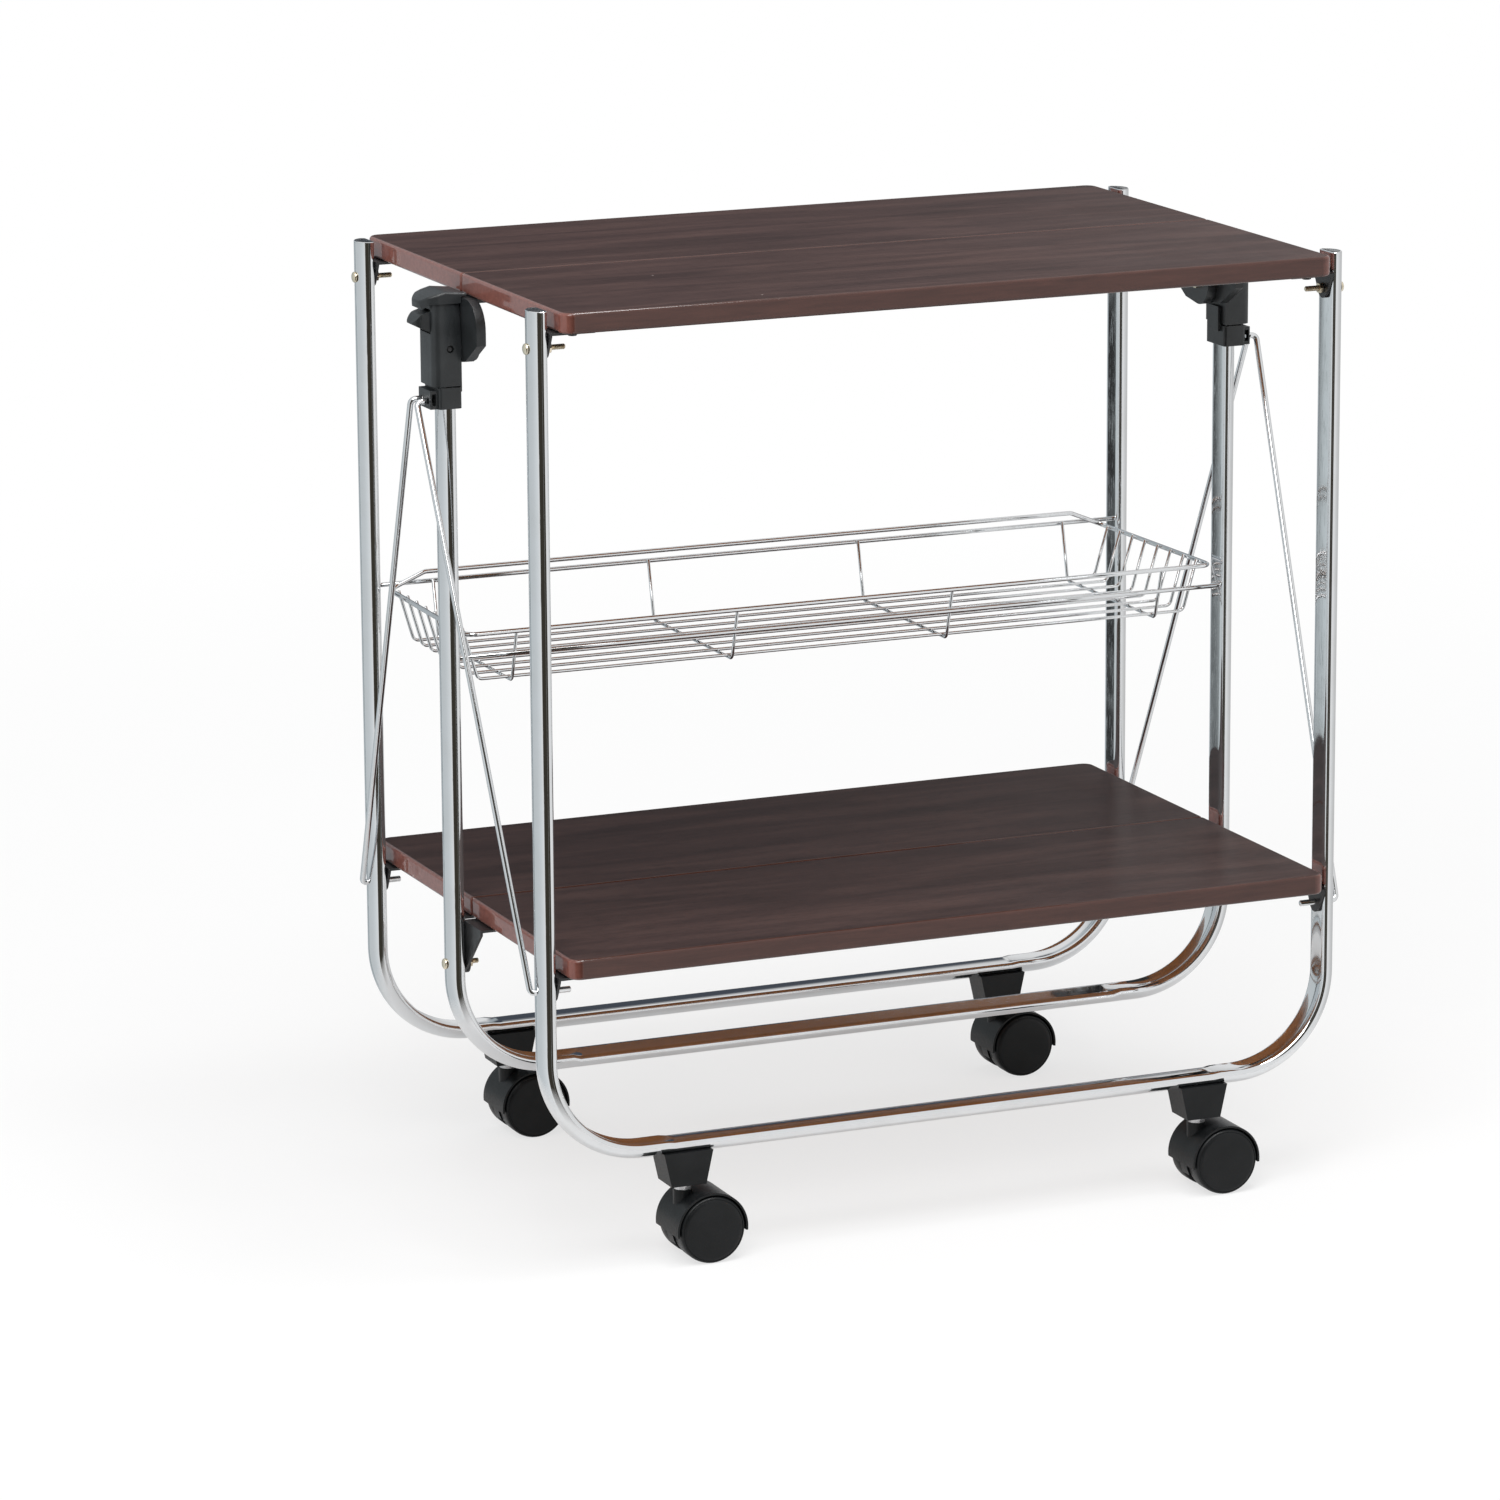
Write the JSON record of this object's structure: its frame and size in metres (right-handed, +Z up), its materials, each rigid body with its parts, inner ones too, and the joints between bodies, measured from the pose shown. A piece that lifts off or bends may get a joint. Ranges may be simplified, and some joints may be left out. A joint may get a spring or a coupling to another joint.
{
  "type": "folding serving trolley",
  "caption": "Folding trolley: split upper and lower wooden shelves and a wire basket on bent tube frames, with wire struts, sliding locks and casters.",
  "frame": {"origin": "on the floor, at the centre of the opened trolley's footprint", "axes": "+Z up, +X along the shelves to the right in the picture, +Y to the rear, away from the camera"},
  "size_m": [0.68, 0.4, 0.7],
  "materials": {
    "frame_chrome": "polished chrome plating",
    "board_wood": "dark brown stain under gloss varnish",
    "black_steel": "satin black",
    "black_plastic": "fine-textured black moulding",
    "caster_plastic": "smooth semi-matte black",
    "brass": "bright yellow passivated",
    "stem_steel": "turned steel"
  },
  "bodies": {
    "rear_frame": {"rear_frame_tube": "frame_chrome", "rear_leg_plugs": "black_plastic", "rear_pivot_bolts": "brass", "rear_pivot_nuts": "brass", "rear_left_caster_socket": "caster_plastic", "rear_right_caster_socket": "caster_plastic", "rear_caster_stems": "stem_steel"},
    "middle_frame": {"middle_frame_tube": "frame_chrome", "centre_pivot_bolts": "brass", "centre_pivot_nuts": "brass", "left_grip_housing": "black_plastic", "right_grip_housing": "black_plastic", "left_palm_grip": "black_plastic", "right_palm_grip": "black_plastic", "trigger_pins": "stem_steel", "housing_screws": "stem_steel"},
    "front_frame": {"front_frame_tube": "frame_chrome", "front_leg_plugs": "black_plastic", "front_pivot_bolts": "brass", "front_pivot_nuts": "brass", "front_left_caster_socket": "caster_plastic", "front_right_caster_socket": "caster_plastic", "front_caster_stems": "stem_steel"},
    "wire_basket": {"basket_rim": "frame_chrome", "basket_pivot_rods": "frame_chrome", "basket_long_wires": "frame_chrome", "basket_cross_wires": "frame_chrome"},
    "lower_rear_leaf": {"lower_rear_board": "board_wood", "lower_rear_leg_brackets": "black_steel", "lower_rear_centre_brackets": "black_steel", "lower_rear_bracket_screws": "black_steel"},
    "lower_front_leaf": {"lower_front_board": "board_wood", "lower_front_leg_brackets": "black_steel", "lower_front_centre_brackets": "black_steel", "lower_front_bracket_screws": "black_steel"},
    "upper_rear_leaf": {"upper_rear_board": "board_wood", "upper_rear_leg_brackets": "black_steel", "upper_rear_centre_brackets": "black_plastic", "upper_rear_bracket_screws": "black_steel"},
    "upper_front_leaf": {"upper_front_board": "board_wood", "upper_front_leg_brackets": "black_steel", "upper_front_centre_brackets": "black_plastic", "upper_front_bracket_screws": "black_steel"},
    "left_collar_slide": {"left_collar": "black_plastic"},
    "left_trigger_lever": {"left_trigger": "black_plastic"},
    "right_collar_slide": {"right_collar": "black_plastic"},
    "right_trigger_lever": {"right_trigger": "black_plastic"},
    "rear_left_stay": {"rear_left_strut": "frame_chrome"},
    "rear_left_swivel": {"rear_left_caster_hood": "caster_plastic"},
    "rear_left_wheels": {"rear_left_wheel_pair": "caster_plastic"},
    "rear_right_stay": {"rear_right_strut": "frame_chrome"},
    "rear_right_swivel": {"rear_right_caster_hood": "caster_plastic"},
    "rear_right_wheels": {"rear_right_wheel_pair": "caster_plastic"},
    "front_left_stay": {"front_left_strut": "frame_chrome"},
    "front_left_swivel": {"front_left_caster_hood": "caster_plastic"},
    "front_left_wheels": {"front_left_wheel_pair": "caster_plastic"},
    "front_right_stay": {"front_right_strut": "frame_chrome"},
    "front_right_swivel": {"front_right_caster_hood": "caster_plastic"},
    "front_right_wheels": {"front_right_wheel_pair": "caster_plastic"}
  },
  "joints": [
    {"name": "fold", "type": "hinge", "parent": "rear_frame", "child": "lower_rear_leaf", "pos_m": [0, 0.175, 0.211], "axis": [-1, 0, 0], "range_deg": [0, 79]},
    {"name": "middle_frame_fold", "type": "hinge", "parent": "lower_rear_leaf", "child": "middle_frame", "pos_m": [0, 0, 0.19], "axis": [1, 0, 0], "range_deg": [0, 79]},
    {"name": "lower_front_fold", "type": "hinge", "parent": "middle_frame", "child": "lower_front_leaf", "pos_m": [0, 0, 0.19], "axis": [1, 0, 0], "range_deg": [0, 79]},
    {"name": "front_frame_fold", "type": "hinge", "parent": "lower_front_leaf", "child": "front_frame", "pos_m": [0, -0.175, 0.211], "axis": [-1, 0, 0], "range_deg": [0, 79]},
    {"name": "upper_rear_fold", "type": "hinge", "parent": "rear_frame", "child": "upper_rear_leaf", "pos_m": [0, 0.175, 0.673], "axis": [-1, 0, 0], "range_deg": [0, 79]},
    {"name": "upper_front_fold", "type": "hinge", "parent": "middle_frame", "child": "upper_front_leaf", "pos_m": [0, 0, 0.652], "axis": [1, 0, 0], "range_deg": [0, 79]},
    {"name": "basket_fold", "type": "hinge", "parent": "rear_frame", "child": "wire_basket", "pos_m": [0, 0.175, 0.439], "axis": [-1, 0, 0], "range_deg": [0, 79]},
    {"name": "left_collar_travel", "type": "slide", "parent": "middle_frame", "child": "left_collar_slide", "axis": [0, 0, -1], "range_m": [0, 0.15713]},
    {"name": "right_collar_travel", "type": "slide", "parent": "middle_frame", "child": "right_collar_slide", "axis": [0, 0, -1], "range_m": [0, 0.15713]},
    {"name": "rear_left_strut_lean", "type": "hinge", "parent": "rear_frame", "child": "rear_left_stay", "pos_m": [0, 0.175, 0.211], "axis": [-1, 0, 0], "range_deg": [0, 16.59]},
    {"name": "rear_right_strut_lean", "type": "hinge", "parent": "rear_frame", "child": "rear_right_stay", "pos_m": [0, 0.175, 0.211], "axis": [-1, 0, 0], "range_deg": [0, 16.59]},
    {"name": "front_left_strut_lean", "type": "hinge", "parent": "front_frame", "child": "front_left_stay", "pos_m": [0, -0.175, 0.211], "axis": [1, 0, 0], "range_deg": [0, 16.59]},
    {"name": "front_right_strut_lean", "type": "hinge", "parent": "front_frame", "child": "front_right_stay", "pos_m": [0, -0.175, 0.211], "axis": [1, 0, 0], "range_deg": [0, 16.59]},
    {"name": "left_trigger_pull", "type": "hinge", "parent": "middle_frame", "child": "left_trigger_lever", "pos_m": [-0.3245, 0, 0.664], "axis": [0, 1, 0], "range_deg": [0, 12], "stiffness_Nm_per_rad": 0.3},
    {"name": "right_trigger_pull", "type": "hinge", "parent": "middle_frame", "child": "right_trigger_lever", "pos_m": [0.3245, 0, 0.664], "axis": [0, -1, 0], "range_deg": [0, 12], "stiffness_Nm_per_rad": 0.3},
    {"name": "rear_left_swivel_turn", "type": "hinge", "parent": "rear_frame", "child": "rear_left_swivel", "pos_m": [-0.207, 0.175, 0.04], "axis": [0, 0, 1], "continuous": true},
    {"name": "rear_left_wheel_roll", "type": "hinge", "parent": "rear_left_swivel", "child": "rear_left_wheels", "pos_m": [-0.192, 0.175, 0.025], "axis": [0, 1, 0], "continuous": true},
    {"name": "rear_right_swivel_turn", "type": "hinge", "parent": "rear_frame", "child": "rear_right_swivel", "pos_m": [0.207, 0.175, 0.04], "axis": [0, 0, 1], "continuous": true},
    {"name": "rear_right_wheel_roll", "type": "hinge", "parent": "rear_right_swivel", "child": "rear_right_wheels", "pos_m": [0.222, 0.175, 0.025], "axis": [0, 1, 0], "continuous": true},
    {"name": "front_left_swivel_turn", "type": "hinge", "parent": "front_frame", "child": "front_left_swivel", "pos_m": [-0.207, -0.175, 0.04], "axis": [0, 0, 1], "continuous": true},
    {"name": "front_left_wheel_roll", "type": "hinge", "parent": "front_left_swivel", "child": "front_left_wheels", "pos_m": [-0.192, -0.175, 0.025], "axis": [0, 1, 0], "continuous": true},
    {"name": "front_right_swivel_turn", "type": "hinge", "parent": "front_frame", "child": "front_right_swivel", "pos_m": [0.207, -0.175, 0.04], "axis": [0, 0, 1], "continuous": true},
    {"name": "front_right_wheel_roll", "type": "hinge", "parent": "front_right_swivel", "child": "front_right_wheels", "pos_m": [0.222, -0.175, 0.025], "axis": [0, 1, 0], "continuous": true}
  ],
  "couplings": [
    {"joint": "middle_frame_fold", "follows": "fold", "ratio": 1},
    {"joint": "lower_front_fold", "follows": "fold", "ratio": 1},
    {"joint": "front_frame_fold", "follows": "fold", "ratio": 1},
    {"joint": "upper_rear_fold", "follows": "fold", "ratio": 1},
    {"joint": "upper_front_fold", "follows": "fold", "ratio": 1},
    {"joint": "basket_fold", "follows": "fold", "ratio": 1},
    {"joint": "left_collar_travel", "follows": "fold", "m_per_rad": 0.11396},
    {"joint": "right_collar_travel", "follows": "fold", "m_per_rad": 0.11396},
    {"joint": "rear_left_strut_lean", "follows": "fold", "ratio": 0.21006},
    {"joint": "rear_right_strut_lean", "follows": "fold", "ratio": 0.21006},
    {"joint": "front_left_strut_lean", "follows": "fold", "ratio": 0.21006},
    {"joint": "front_right_strut_lean", "follows": "fold", "ratio": 0.21006}
  ]
}
